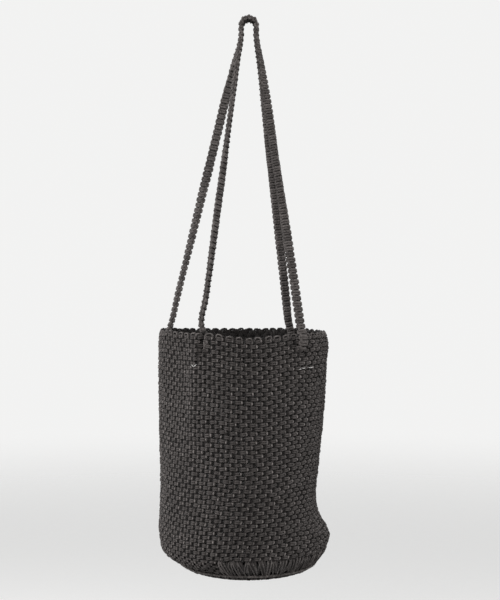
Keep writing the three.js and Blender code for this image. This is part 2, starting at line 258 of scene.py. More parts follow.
BAR_EXPOSURE = 0.22  # the bars of a knot are painted darker than its turns, as they lie lower
BAR_LEFT_SHARE = 0.5  # of that at the bars' left end
BAR_LEFT = (-3.6, -0.6)  # across a knot: where its bars start to come up, and are up
KNOT_CROWN = (0.9, 2.4)  # heights between which a knot comes out of the painted shade of its hollow
KNOT_TURN = (2.2, 3.2)  # across a knot: where the painted light on its proud turn starts, and is full
KNOT_SIDE = (3.6, 5.0)  # across a knot: where the painted shade of the hollow beside it starts, and is deep
STRAP_EXPOSURE = 0.6
STRAP_OPEN = (0.2, 1.0)  # shares of a strap's half width and thickness, from painted shade to open
SMOOTH_EXPOSURE = 0.74  # of cords that lie straight, which are painted with less light than a knot's turn
HOLLOW_EXPOSURE = 0.3  # of the shallow side of a hollow
HOLLOW_SHADE = 0.95  # how much of that is painted away as shade beside a knot
HOLLOW_UNDER = 0.8  # share of the same painted shade below a knot's crown
LEAST_EXPOSURE = 0.09  # anywhere but in the painted dark line of the pleat

# White stitches: the middle of each on the wall, and its reach round and up

Tack = namedtuple("Tack", "angle z run rise")
TACKS = [
    Tack(-34.2, -441.3, 2.6, -2.2),
    Tack(-32.4, -441.0, 2.8, 2.8),
    Tack(39.5, -446.0, 2.2, 0.3),
    Tack(42.8, -444.9, 3.4, 0.4),
    Tack(50.4, -444.6, 7.2, 0.4),
]
TACK_CORD = 0.45  # radius of the thread
TACK_PROUD = 3.4  # out from the middle of the cloth, so that a stitch lies on the crowns of the knots
TACK_DIVE = 3.0  # how far its ends go in
TACK_DIVE_POWER = 6
TACK_STATIONS = 7

# Finishes

DYE_DARK = (0.068, 0.0613, 0.0582, 1)
DYE_LIGHT = (0.274, 0.2469, 0.2361, 1)
# Colours of painted shade, from the deepest hollow to the shallow side of a hollow
PAINTED_SHADE_DARK = (0.003, 0.0027, 0.0026, 1)
PAINTED_SHADE_LIGHT = (0.062, 0.0554, 0.0529, 1)
# The white thread's colours, with painted shade in the grooves between its plies
THREAD_DARK = (0.55, 0.54, 0.52, 1)
THREAD_LIGHT = (0.8, 0.79, 0.77, 1)
PALE = (0.89, 0.89, 0.885, 1)
FLOOR_BOUNCE = (0.5, 0.5, 0.5, 1)  # the floor throws less light up than it shows

Plies = namedtuple("Plies", "count lay")  # how many, and the millimetres between one and the next
CORD_PLIES = Plies(3, 4.2)
THREAD_PLIES = Plies(2, 0.8)
Grain = namedtuple("Grain", "scale detail tone relief")  # what it adds to the cord's tone and to its relief
FIBRES = Grain(900.0, 3.0, 0.6, 0.6)
LUMPS = Grain(330.0, 2.0, 2.1, 0.8)
PATCHES = Grain(16.0, 3.0, 0.3, 0.0)
FIBRE_ENDS = (0.6, 0.72)  # values of the fibres at which an end starts to show, and shows fully
END_TONE = 0.7
KNOT_TONE = 0.6  # each knot took the dye a little differently
# how much painted shade and light the plies add to the cord's tone
PLY_TONE = 0.15
PLY_RELIEF = 0.4
TONE_SHIFT = 1.57

# Stage, light and camera, in metres

FLOOR_Z = -1.25
FLOOR_RADIUS = 9.0
FLOOR_SIDES = 64
FLOOR_FADE = (0.5, 6.0)  # radii between which the floor fades out
FLOOR_GLOW = 0.42
STUDIO_GLOW = 0.13

Lamp = namedtuple("Lamp", "name place size power")
LAMPS = [
    Lamp("front", (-0.2, -2.0, 0.8), 0.9, 41),
    Lamp("left", (-2.0, 0.1, 0.1), 0.8, 41),
    Lamp("right", (2.0, -0.1, 0.1), 0.8, 21),
]
LAMP_TARGET = (0, 0, -0.45)

CAMERA_PLACE = (0.0017, -1.4, -0.3614)
LENS = 64.62
SENSOR = 36


# Shape of the bag


def smoothstep(low, high, value):
    t = np.clip((value - low) / (high - low), 0, 1)
    return t * t * (3 - 2 * t)


def through(xs, ys, x):
    """A smooth curve through a table's rows."""
    xs, ys = np.asarray(xs, float), np.asarray(ys, float)
    slopes = np.gradient(ys, xs)
    i = np.clip(np.searchsorted(xs, x) - 1, 0, len(xs) - 2)
    span = xs[i + 1] - xs[i]
    t = np.clip((x - xs[i]) / span, 0, 1)
    rise = (2 * t**3 - 3 * t**2 + 1) * ys[i] + (3 * t**2 - 2 * t**3) * ys[i + 1]
    return rise + span * ((t**3 - 2 * t**2 + t) * slopes[i] + (t**3 - t**2) * slopes[i + 1])


def unit(vectors):
    return vectors / np.maximum(np.linalg.norm(vectors, axis=-1, keepdims=True), 1e-9)


def run_along(places):
    """Length from the first of these places to each of them."""
    steps = np.linalg.norm(np.diff(np.asarray(places, float), axis=0), axis=1)
    return np.concatenate([[0], np.cumsum(steps)])


def rim_height(angle):
    first = RIM_HEIGHTS[0].angle
    turned = first + np.mod(np.asarray(angle, float) - first, 360)
    angles = np.array([row.angle for row in RIM_HEIGHTS])
    heights = np.array([row.z for row in RIM_HEIGHTS])
    i = np.clip(np.searchsorted(angles, turned, side="right") - 1, 0, len(angles) - 2)
    return heights[i] + (heights[i + 1] - heights[i]) * smoothstep(angles[i], angles[i + 1], turned)


def plain_radius(angle, z):
    """Distance of the wall's outer face from the bag's axis before it is pleated: four quarter ellipses."""
    a = np.radians(angle)
    rows = WALL_SECTIONS[::-1]
    heights = [row.z for row in rows]

    def reach(way):
        return through(heights, [getattr(row, way) for row in rows], z)

    side = np.where(np.sin(a) < 0, reach("left"), reach("right"))
    face = np.where(np.cos(a) > 0, reach("front"), reach("back"))
    return 1 / np.hypot(np.sin(a) / side, np.cos(a) / face)


def pleat_middle(z):
    return PLEAT_ANGLE - PLEAT_LEAN * np.maximum(rim_height(PLEAT_ANGLE) - z, 0)


def pleat(angle, z):
    """How far the wall goes in or out at the pleat, and the angle that the cloth is drawn round to."""
    depth = smoothstep(PLEAT_FOOT_Z, rim_height(PLEAT_ANGLE), z)
    turned = np.mod(angle - pleat_middle(z) + 180, 360) - 180
    across = np.radians(turned) * WALL_SECTIONS[0].front
    groove = np.exp(-((across / (PLEAT_WIDTH / 2)) ** PLEAT_STEEP))
    lip = np.exp(-(((across - PLEAT_LIP_AT) / PLEAT_LIP_HALF) ** 2))
    drawn = PLEAT_PULL * np.exp(-((across / PLEAT_WIDTH) ** 2))
    return depth * (PLEAT_LIP * lip - PLEAT_DEPTH * groove), angle - depth * drawn * turned


def fold(angle, z):
    """How far the cloth falls back beside the soft fold below the pleat."""
    start, deepest, rising, end = FOLD_ANGLES
    across = smoothstep(start, deepest, angle) * smoothstep(end, rising, angle)
    below = smoothstep(FOLD_FOOT_Z, FOLD_TOP_Z, z)
    lost_above = (1 - FOLD_AT_RIM) * smoothstep(FOLD_TOP_Z, RIM_HEIGHTS[0].z, z)
    return FOLD_DEPTH * across * (below - lost_above)


def hung(angle, z):
    """The angle that a column of knots has come round to at a height."""
    return angle - TWIST * np.clip((TWIST_TOP_Z - z) / (TWIST_TOP_Z - FOOT_TOP_Z), 0, 1) ** TWIST_POWER


def around(angle, radius, z, axis_x=BAG_X):
    a = np.radians(angle)
    return np.stack([axis_x + radius * np.sin(a), -radius * np.cos(a), z + 0 * a], axis=-1)


def cloth_face(angle, down):
    """A point of the outer face, from its angle and place down the cloth: 0 at the rim, negative below."""
    rim = rim_height(angle)
    wall_share = np.clip(-down / WALL_LENGTH, 0, 1)
    z = np.where(down > 0, rim + down, rim + wall_share * (FOOT_TOP_Z - rim))
    angle = hung(angle, z)
    offset, drawn_angle = pleat(angle, z)
    wall = around(drawn_angle, plain_radius(angle, z) + offset - fold(angle, z), z)

    foot_share = np.clip((-down - WALL_LENGTH) / FOOT_LENGTH, 0, 1)
    turn_in = foot_share**FOOT_CURVE
    top = plain_radius(angle, FOOT_TOP_Z + 0 * angle)
    foot_radius = top + (FOOT_RADIUS - top) * turn_in
    foot_z = FOOT_TOP_Z + (FOOT_Z - FOOT_TOP_Z) * foot_share
    foot = around(angle, foot_radius, foot_z, BAG_X + (BASE_X - BAG_X) * turn_in)

    base_share = np.clip((-down + RING_DOWN) / BASE_LENGTH, 0, 1)
    base_radius = np.maximum(FOOT_RADIUS * (1 - base_share), BASE_MIDDLE)
    sag = BASE_SAG * (1 - (base_radius / FOOT_RADIUS) ** BASE_ROUNDING)
    base_drop = (FOOT_Z - BASE_EDGE_Z) * smoothstep(0, BASE_EDGE, base_share)
    base = around(angle, base_radius, FOOT_Z - base_drop - sag, BASE_X)

    on_wall = (down > -WALL_LENGTH)[..., None]
    on_base = (down < RING_DOWN)[..., None]
    return np.where(on_wall, wall, np.where(on_base, base, foot))


def cloth_frame(angle, down):
    """Middle of the cloth's thickness and its outward direction."""
    run = cloth_face(angle + CLOTH_STEP, down) - cloth_face(angle - CLOTH_STEP, down)
    rise = cloth_face(angle, down + CLOTH_STEP) - cloth_face(angle, down - CLOTH_STEP)
    out = unit(np.cross(run, rise))
    return cloth_face(angle, down) - WALL / 2 * out, out


# Helper surfaces that knots are laid on


def surface_object(name, points, outward):
    """A sheet from a grid of points, first index along U and second along V, with its outward directions."""
    across, along = points.shape[:2]
    index = np.arange(across * along).reshape(across, along)
    corners = [index[:-1, :-1], index[1:, :-1], index[1:, 1:], index[:-1, 1:]]
    faces = np.stack(corners, axis=-1).reshape(-1, 4)
    mesh = bpy.data.meshes.new(name)
    mesh.from_pydata((points * MM).reshape(-1, 3).tolist(), [], faces.tolist())
    u, v = np.meshgrid(np.linspace(0, 1, across), np.linspace(0, 1, along), indexing="ij")
    uv = np.stack([u, v], axis=-1).reshape(-1, 2)[faces.ravel()]
    mesh.uv_layers.new(name="UVMap").data.foreach_set("uv", uv.ravel())
    mesh.attributes.new("outward", "FLOAT_VECTOR", "POINT").data.foreach_set("vector", outward.ravel())
    sheet = bpy.data.objects.new(name, mesh)
    bpy.context.scene.collection.objects.link(sheet)
    return sheet


def cloth_surface():
    angles = np.linspace(-180, 180, KNOT_COLUMNS * SHEET_STEPS + 1)
    downs = np.linspace(CLOTH_LOW, CLOTH_ABOVE, SHEET_ROWS)
    angle, down = np.meshgrid(angles, downs, indexing="ij")
    return surface_object("cloth", *cloth_frame(angle, down))


def strap_stations(end, side, lane):
    """Places of the middle of one strand, from the hang point down."""
    lift = HANG_RADIUS + STRAP_THICK / 2
    arcs = math.pi / 2 * (np.arange(BEND_STATIONS) + 0.5) / BEND_STATIONS
    bend = [(lift * side * math.sin(a), lane, lift * math.cos(a) - HANG_RADIUS) for a in arcs]
    rows = SEAT_ROWS[end.seat]
    seat = [around(end.angle, plain_radius(end.angle, row.z) + row.offset, row.z) for row in rows]
    start = np.array((side * lift, lane, -HANG_RADIUS - lift))
    free = [start + (seat[0] - start) * t for t in np.arange(FREE_STATIONS) / FREE_STATIONS]
    return np.array([*bend, *free, *seat])


def strap_turns(end, heights):
    rows = end.turns[::-1]
    return through([row.z for row in rows], [row.angle for row in rows], heights)


def strap_path(strap):
    """Places, width directions and thickness directions along a strap, from its left end, and its length."""
    left = strap_stations(strap.left, -1, strap.lane)[::-1]
    right = strap_stations(strap.right, 1, strap.lane)
    stations = np.concatenate([left, right])
    turns = np.concatenate([strap_turns(strap.left, left[:, 2]), strap_turns(strap.right, right[:, 2])])
    run = run_along(stations)
    at = np.linspace(0, run[-1], int(run[-1] / STRAP_STEP))
    points = np.stack([through(run, stations[:, c], at) for c in range(3)], axis=-1)
    turn = np.radians(through(run, turns, at))
    tangent = unit(np.gradient(points, axis=0))
    faced = np.stack([np.cos(turn), np.sin(turn), 0 * turn], axis=-1)
    width = unit(faced - tangent * np.sum(faced * tangent, axis=-1, keepdims=True))
    return points, width, np.cross(tangent, width), run[-1]


def strap_surface(name):
    points, width, thick, length = strap_path(STRAPS[name])
    points, width, thick = points[::-1], width[::-1], thick[::-1]
    edges = np.stack([points - RIBBON / 2 * width, points + RIBBON / 2 * width])
    return surface_object(name + "_strip", edges, np.stack([thick, thick])), length


# Knots and cords: a pattern is a few short lengths of cord, in millimetres across, up and out of the cloth

Cord = namedtuple("Cord", "path radii sides")
STEEP = 0.9  # a cord that starts more steeply out of the cloth takes its side from the up direction
FINER = 4  # rings for each one, where a cord has to bend sharply
FOOT_STATIONS = 7


def cord_rings(cord):
    path = np.asarray(cord.path, float)
    tangents = unit(np.gradient(path, axis=0))
    side = np.cross(tangents[0], (0, 0, 1) if abs(tangents[0][2]) < STEEP else (0, 1, 0))
    turns = 2 * math.pi * np.arange(cord.sides) / cord.sides
    rings = []
    for centre, tangent, radius in zip(path, tangents, np.broadcast_to(cord.radii, len(path))):
        side = unit(side - tangent * np.dot(side, tangent))
        up = np.cross(tangent, side)
        rings.append(centre + radius * (np.outer(np.cos(turns), side) + np.outer(np.sin(turns), up)))
    return np.array(rings)


def cord_mesh(name, cords, exposed):
    """Capped lengths of cord in one mesh; U runs along each cord in millimetres and V round it.

    exposed gives a point's share of open light, which is painted into its colour: painted shade at 0, deep
    in a hollow of the knot, and painted light at 1, on its crown.
    """
    points, faces, uvs = [], [], []
    for cord in cords:
        rings = cord_rings(cord)
        base, sides = sum(map(len, points)), cord.sides
        along = run_along(cord.path)
        points.append(rings.reshape(-1, 3))
        for k in range(len(rings) - 1):
            for j in range(sides):
                corners = [(k, j), (k, j + 1), (k + 1, j + 1), (k + 1, j)]
                faces.append([base + i * sides + s % sides for i, s in corners])
                uvs += [(along[i], s / sides) for i, s in corners]
        for k, ring in ((0, range(sides - 1, -1, -1)), (len(rings) - 1, range(sides))):
            faces.append([base + k * sides + s for s in ring])
            uvs += [(along[k], s / sides) for s in ring]
    mesh = bpy.data.meshes.new(name)
    mesh.from_pydata((np.concatenate(points) * MM).tolist(), [], faces)
    mesh.uv_layers.new(name="UVMap").data.foreach_set("uv", np.ravel(uvs))
    # Painted light and shade: each point's share of light, stored for the finish to paint into its colour
    share = np.maximum(exposed(np.concatenate(points)), LEAST_EXPOSURE)
    mesh.attributes.new("exposure", "FLOAT", "POINT").data.foreach_set("value", share)
    mesh.shade_smooth()
    return mesh


def crown_exposure(deep, crown):
    """Painted light of a smooth cord: shade is painted low down, and more light the higher it stands out of
    the cloth.
    """
    return lambda points: SMOOTH_EXPOSURE * smoothstep(deep, crown, points[:, 2])


def even_exposure(points):
    return np.full(len(points), SMOOTH_EXPOSURE)


def pattern_object(name, cords, exposed):
    pattern = bpy.data.objects.new(name, cord_mesh(name, cords, exposed))
    bpy.context.scene.collection.objects.link(pattern)
    return pattern


def turned_over(cord):
    """The same length of cord on the other face, as if the knot were turned round its upright."""
    return cord._replace(path=[(-x, y, -z) for x, y, z in cord.path])


def finer(cord):
    """The same cord with enough rings to bend sharply."""
    stations = np.arange(len(cord.path))
    at = np.linspace(0, stations[-1], FINER * stations[-1] + 1)
    path = np.stack([np.interp(at, stations, axis) for axis in np.transpose(cord.path)], axis=-1)
    radii = np.interp(at, stations, np.broadcast_to(cord.radii, len(stations)))
    return cord._replace(path=path, radii=radii)


def wall_knot_cords():
    """A square knot: two bars across, a proud turn at the right, a low one at the left, and cords behind."""
    bars = [
        Cord(
            [(-4.0, 0.7 * y, 0.0), (-2.1, y, 1.2), (1.0, y, 1.3), (2.8, 0.75 * y, 0.3)],
            [0.95, 1.25, 1.25, 1.0],
            5,
        )
        for y in (1.14, -1.14)
    ]
    proud = [(2.6, 2.5, -0.7), (3.8, 0.7, 1.4), (3.8, -0.7, 1.4), (2.6, -2.5, -0.7)]
    low = [(-3.4, 2.2, -1.3), (-4.6, 0, 0.1), (-3.4, -2.2, -1.3)]
    turns = [Cord(proud, [0.9, 1.2, 1.2, 0.9], 5), Cord(low, [0.9, 1.2, 0.9], 5)]
    back = [
        Cord([(-3.6, y, -0.9), (0, y, -1.9), (3.6, y, -0.9)], [1.1, 1.5, 1.1], 4)
        for y in (1.35, -1.35)
    ]
    crossed = [Cord([(side * 4.6, 4.1, 0.1), (-side * 4.6, -4.1, 0.1)], 1.3, 4) for side in (1, -1)]
    between = [Cord([(x + 0.5, 4.1, -2.2), (x - 0.5, -4.1, -2.2)], 2.7, 4) for x in (4.5, 7.4)]
    return [*bars, *turns, *back, *crossed, *between]


def wall_knot_exposure(points):
    # Painted shade in the hollows beside and below each knot, and painted light on its crown, most on its
    # proud turn
    across, _, height = points.T
    crown = smoothstep(*KNOT_CROWN, height)
    turn = smoothstep(*KNOT_TURN, across)
    beside = smoothstep(*KNOT_SIDE, np.abs(across))
    hollow = HOLLOW_EXPOSURE * (1 - HOLLOW_SHADE * np.maximum(beside, HOLLOW_UNDER * (1 - crown)))
    bar = BAR_EXPOSURE * (BAR_LEFT_SHARE + (1 - BAR_LEFT_SHARE) * smoothstep(*BAR_LEFT, across))
    return hollow + crown * (1 - HOLLOW_EXPOSURE) * (bar + (1 - bar) * turn)


def wall_knot():
    return pattern_object("wall_knot", wall_knot_cords(), wall_knot_exposure)


def pleated_knot():
    return pattern_object("pleated_knot", [finer(cord) for cord in wall_knot_cords()], wall_knot_exposure)


def strap_knot():
    """One square knot of a strap, round two straight core cords: two bars and a tall turn on each face."""
    bars = [
        Cord(
            [(-4.1, y, z - 2.1), (-2.5, y, z - 0.2), (2.0, y, z), (3.7, 0.8 * y, z - 1.3)],
            [1.3, 1.7, 1.7, 1.3],
            6,
        )
        for y, z in ((1.45, 2.4), (-1.45, 1.6))
    ]
    tall = [(3.1, 3.3, 0.2), (4.3, 1.3, 1.7), (4.3, -1.3, 1.7), (3.1, -3.3, 0.2)]
    low = [(-3.0, -0.4, 0.5), (-3.9, -3.5, 0.8), (-3.0, -6.6, 0.5)]
    face = [*bars, Cord(tall, [1.1, 1.65, 1.65, 1.1], 6), Cord(low, [1.1, 1.5, 1.1], 6)]
    core = [Cord([(x, 3.6, 0), (x, -3.6, 0)], 1.9, 5) for x in (-1.4, 1.4)]

    def outer_exposure(points):
        # Painted shade towards the middle of the strap, where its cords lie under others, and painted light
        # on its outer faces
        across, _, height = points.T
        return STRAP_EXPOSURE * smoothstep(
            *STRAP_OPEN, np.hypot(across / (STRAP_WIDTH / 2), height / (STRAP_THICK / 2))
        )

    return pattern_object("strap_knot", [*face, *map(turned_over, face), *core], outer_exposure)


def rim_loop():
    """A flat folded loop above a column of knots: an outer and an inner cord, one behind and one across."""
    outer = [(-4.2, -7.8, 0.0), (-3.8, -4.2, 0.6), (-2.9, -1.7, 1.0), (0, -1.2, 1.2), (2.9, -1.7, 1.0),
             (3.8, -4.2, 0.6), (4.2, -7.8, 0.0)]
    inner = [(-2.2, -8.0, -0.9), (-2.0, -4.9, -0.9), (0, -4.0, -0.9), (2.0, -4.9, -0.9), (2.2, -8.0, -0.9)]
    behind = [(0.93 * x, y - 0.1, z - 2.6) for x, y, z in outer]
    across = [(-6.6, -8.8, -1.8), (6.6, -8.8, -1.8)]
    cords = [Cord(outer, 1.2, 5), Cord(inner, 1.7, 5), Cord(behind, 1.5, 4), Cord(across, 2.4, 4)]
    return pattern_object("rim_loop", cords, crown_exposure(0.0, 2.3))


def foot_cord():
    """A straight cord of the foot, its top tucked in, and one behind it that closes the gap beside it."""
    sway, proud, tuck = 0.4, 0.9, 2.4
    overlap, overlap_behind = 4.0, 6.0
    shares = np.linspace(0, 1, FOOT_STATIONS)
    across = sway * np.sin(5 * shares)
    height = proud + sway * np.sin(9 * shares)
    height[0] -= tuck
    front = np.stack([across, -(FOOT_LENGTH + overlap) * (shares - 0.5), height], axis=-1)
    behind = [(2.6, -(FOOT_LENGTH + overlap_behind) * (share - 0.5), -1.9) for share in shares[::2]]
    cords = [Cord(front, 1.05, 5), Cord(behind, 2.4, 4)]
    return pattern_object("foot_cord", cords, crown_exposure(-0.4, 1.4))


def loose_foot_cord():
    """A shorter cord that lies slack across its neighbours."""
    length = 0.6 * FOOT_LENGTH
    sway, bow, sunk = 0.5, 1.9, 0.4
    shares = np.linspace(0, 1, FOOT_STATIONS)
    height = bow * np.sin(math.pi * shares) - sunk
    path = np.stack([sway * np.sin(4 * shares), -length * (shares - 0.5), height], axis=-1)
    return pattern_object("loose_foot_cord", [Cord(path, 1.0, 5)], crown_exposure(-0.4, 2.4))


def ring_hitch():
    """One slanting turn of cord over the ridge round the base."""
    path = [(-2.8, -0.7, 1.6), (-1.0, -0.3, 2.8), (1.0, 0.3, 2.8), (2.8, 0.7, 1.6)]
    return pattern_object("ring_hitch", [Cord(path, [1.0, 1.5, 1.5, 1.0], 6)], crown_exposure(0.4, 3.0))


# Node trees


def find(sockets, key):
    if isinstance(key, int):
        return sockets[key]
    return next(socket for socket in sockets if socket.name == key and socket.enabled)


class Value:
    """A socket of a node tree. Arithmetic on it adds Math nodes to the same tree."""

    def __init__(self, maker, socket):
        self.maker = maker
        self.socket = socket

    def math(self, operation, *others):
        return self.maker.add("ShaderNodeMath", {"operation": operation}, dict(enumerate((self, *others))))

    def after(self, operation, first):
        return self.maker.add("ShaderNodeMath", {"operation": operation}, {0: first, 1: self})

    def out(self, name):
        return Value(self.maker, find(self.socket.node.outputs, name))

    def __add__(self, other):
        return self.math("ADD", other)

    def __sub__(self, other):
        return self.math("SUBTRACT", other)

    def __rsub__(self, other):
        return self.after("SUBTRACT", other)

    def __mul__(self, other):
        return self.math("MULTIPLY", other)

    def __truediv__(self, other):
        return self.math("DIVIDE", other)

    def __mod__(self, other):
        return self.math("FLOORED_MODULO", other)

    __radd__ = __add__
    __rmul__ = __mul__


class Maker:
    """Adds nodes to one tree: a node's type, its settings, its sockets' values or links, and its output."""

    def __init__(self, tree):
        self.tree = tree

    def add(self, kind, settings=None, sockets=None, out=0):
        node = self.tree.nodes.new(kind)
        for key, value in (settings or {}).items():
            setattr(node, key, value)
        for key, value in (sockets or {}).items():
            socket = find(node.inputs, key)
            if isinstance(value, Value):
                self.tree.links.new(value.socket, socket)
            else:
                socket.default_value = value
        return Value(self, find(node.outputs, out)) if len(node.outputs) else node

    def blend(self, factor, dark, light):
        settings = {"data_type": "RGBA", "clamp_factor": True}
        return self.add("ShaderNodeMix", settings, {"Factor": factor, "A": dark, "B": light}, "Result")


CLOTH_INPUTS = {
    "Geometry": "NodeSocketGeometry",
    "Knot": "NodeSocketObject",
    "Surface": "NodeSocketObject",
    "First Column": "NodeSocketInt",
    "Columns": "NodeSocketInt",
    "First Row": "NodeSocketInt",
    "Rows": "NodeSocketInt",
    "Column Pitch": "NodeSocketFloat",
    "Row Pitch": "NodeSocketFloat",
    "Stagger": "NodeSocketFloat",
    "Top": "NodeSocketFloat",
    "Width": "NodeSocketFloat",
    "Low": "NodeSocketFloat",
    "High": "NodeSocketFloat",
    "Stretch": "NodeSocketFloat",
    "Looseness": "NodeSocketFloat",
    "Seed": "NodeSocketInt",
    "Finish": "NodeSocketMaterial",
}
ROW_NUDGE = 0.0001  # keeps the first knot of a row in its row
SURFACE_EDGE = 0.0001  # share of the surface that is kept clear at each end


def knots_on_surface_tree():
    """Rows of one knot, laid flat and wrapped on a surface: across on U, up on V and out on its normal."""
    tree = bpy.data.node_groups.new("knots on a surface", "GeometryNodeTree")
    for name, kind in CLOTH_INPUTS.items():
        tree.interface.new_socket(name, in_out="INPUT", socket_type=kind)
    tree.interface.new_socket("Geometry", in_out="OUTPUT", socket_type="NodeSocketGeometry")
    g = Maker(tree)
    given = g.add("NodeGroupInput")
    as_vector = {"data_type": "FLOAT_VECTOR"}

    def xyz(x, y, z):
        return g.add("ShaderNodeCombineXYZ", {}, {0: x, 1: y, 2: z})

    def chance(low, high, salt):
        sockets = {"Min": low, "Max": high, "Seed": given.out("Seed") + salt}
        return g.add("FunctionNodeRandomValue", {"data_type": "FLOAT"}, sockets, "Value")

    # Places of the knots on the flat cloth
    index = g.add("GeometryNodeInputIndex")
    columns = given.out("Columns")
    row_here = (index / columns + ROW_NUDGE).math("FLOOR")
    row = row_here + given.out("First Row")
    column = index - row_here * columns + given.out("First Column")
    loose = given.out("Looseness")
    across = (column + 0.5 + given.out("Stagger") * (row % 2)) * given.out("Column Pitch")
    up = given.out("Top") - row * given.out("Row Pitch")
    turn = across / given.out("Width") * (2 * math.pi)
    seen = xyz(turn.math("COSINE"), turn.math("SINE"), up * DRIFT_HEIGHT)
    drift = g.add("ShaderNodeTexNoise", {}, {"Vector": seen, "Scale": DRIFT_SCALE, "Detail": 1.0}, "Color")
    drift = g.add("ShaderNodeSeparateXYZ", {}, {0: drift})
    place = xyz(
        across + loose * (chance(-0.5, 0.5, 1) + DRIFT_ACROSS * drift.out("X") - DRIFT_ACROSS / 2),
        up + loose * (chance(-0.5, 0.5, 2) + DRIFT_UP * drift.out("Y") - DRIFT_UP / 2),
        loose * chance(-0.5, 0.5, 8),
    )
    points = g.add("GeometryNodePoints", {}, {"Count": columns * given.out("Rows"), "Position": place})

    # A knot at each place, no two quite alike
    swing = loose * LOOSE_LEAN
    lean = xyz(
        swing * chance(-0.5, 0.5, 3),
        swing * chance(-0.5, 0.5, 4),
        swing * chance(-LOOSE_TURN, LOOSE_TURN, 5),
    )
    size = 1 + loose * chance(-LOOSE_SIZE, LOOSE_SIZE, 6)
    knot = g.add("GeometryNodeObjectInfo", {}, {"Object": given.out("Knot")}, "Geometry")
    knots = g.add("GeometryNodeInstanceOnPoints", {}, {
        "Points": points,
        "Instance": knot,
        "Rotation": g.add("FunctionNodeEulerToRotation", {}, {0: lean}),
        "Scale": xyz(size * given.out("Stretch"), size, size),
    })
    shade = {"Geometry": knots, "Name": "knot_shade", "Value": chance(0.0, 1.0, 7)}
    knots = g.add("GeometryNodeStoreNamedAttribute", {"data_type": "FLOAT", "domain": "INSTANCE"}, shade)
    flat = g.add("GeometryNodeRealizeInstances", {}, {"Geometry": knots})

    # The flat cloth wrapped on the surface
    surface = g.add("GeometryNodeObjectInfo", {}, {"Object": given.out("Surface")}, "Geometry")
    position = g.add("GeometryNodeInputPosition")
    parts = g.add("ShaderNodeSeparateXYZ", {}, {0: position})
    u = (parts.out("X") / given.out("Width")).math("FRACT")
    v = (parts.out("Y") - given.out("Low")) / (given.out("High") - given.out("Low"))
    v = v.math("MAXIMUM", SURFACE_EDGE).math("MINIMUM", 1 - SURFACE_EDGE)

    def on_surface(value):
        uv = g.add("GeometryNodeInputNamedAttribute", as_vector, {"Name": "UVMap"}, "Attribute")
        sockets = {"Mesh": surface, "Value": value, "UV Map": uv, "Sample UV": xyz(u, v, 0.0)}
        return g.add("GeometryNodeSampleUVSurface", as_vector, sockets, "Value")

    outward = g.add("GeometryNodeInputNamedAttribute", as_vector, {"Name": "outward"}, "Attribute")
    lifted = g.add("ShaderNodeVectorMath", {"operation": "MULTIPLY_ADD"}, {
        0: on_surface(outward),
        1: xyz(parts.out("Z"), parts.out("Z"), parts.out("Z")),
        2: on_surface(position),
    })
    wrapped = g.add("GeometryNodeSetPosition", {}, {"Geometry": flat, "Position": lifted})
    finished = g.add("GeometryNodeSetMaterial", {}, {"Geometry": wrapped, "Material": given.out("Finish")})
    g.add("NodeGroupOutput", {}, {"Geometry": finished})
    return tree


def lay_knots(name, tree, **values):
    """Runs the tree with these inputs and keeps its result as a plain mesh."""
    piece = bpy.data.objects.new(name, bpy.data.meshes.new(name))
    bpy.context.scene.collection.objects.link(piece)
    layer = piece.modifiers.new("knots", "NODES")
    layer.node_group = tree
    inputs = [item for item in tree.interface.items_tree if item.in_out == "INPUT"]
    identifiers = {item.name: item.identifier for item in inputs}
    for key, value in values.items():
        layer[identifiers[key.replace("_", " ").title()]] = value
    depsgraph = bpy.context.evaluated_depsgraph_get()
    made = bpy.data.meshes.new_from_object(
        piece.evaluated_get(depsgraph), preserve_all_data_layers=True, depsgraph=depsgraph
    )
    piece.modifiers.remove(layer)
    piece.data = made
    made.name = name
    return piece


def joined(name, parts):
    if len(parts) > 1:
        with bpy.context.temp_override(
            active_object=parts[0], object=parts[0], selected_objects=parts, selected_editable_objects=parts
        ):
            bpy.ops.object.join()
    parts[0].name = name
    return parts[0]


def clear(*helpers):
    for helper in helpers:
        bpy.data.objects.remove(helper)


# Finishes


def new_finish(name):
    material = bpy.data.materials.new(name)
    material.use_nodes = True
    material.node_tree.nodes.clear()
    return material, Maker(material.node_tree)


def twisted(s, plies):
    """Light and dark along the plies of a twisted cord: painted shade in the grooves between the plies, and
    painted light on their crowns.
    """
    uv = s.add("ShaderNodeUVMap", {"uv_map": "UVMap"})
    parts = s.add("ShaderNodeSeparateXYZ", {}, {0: uv})
    turns = parts.out("Y") * plies.count + parts.out("X") / plies.lay
    return (turns * (2 * math.pi)).math("SINE") * 0.5 + 0.5


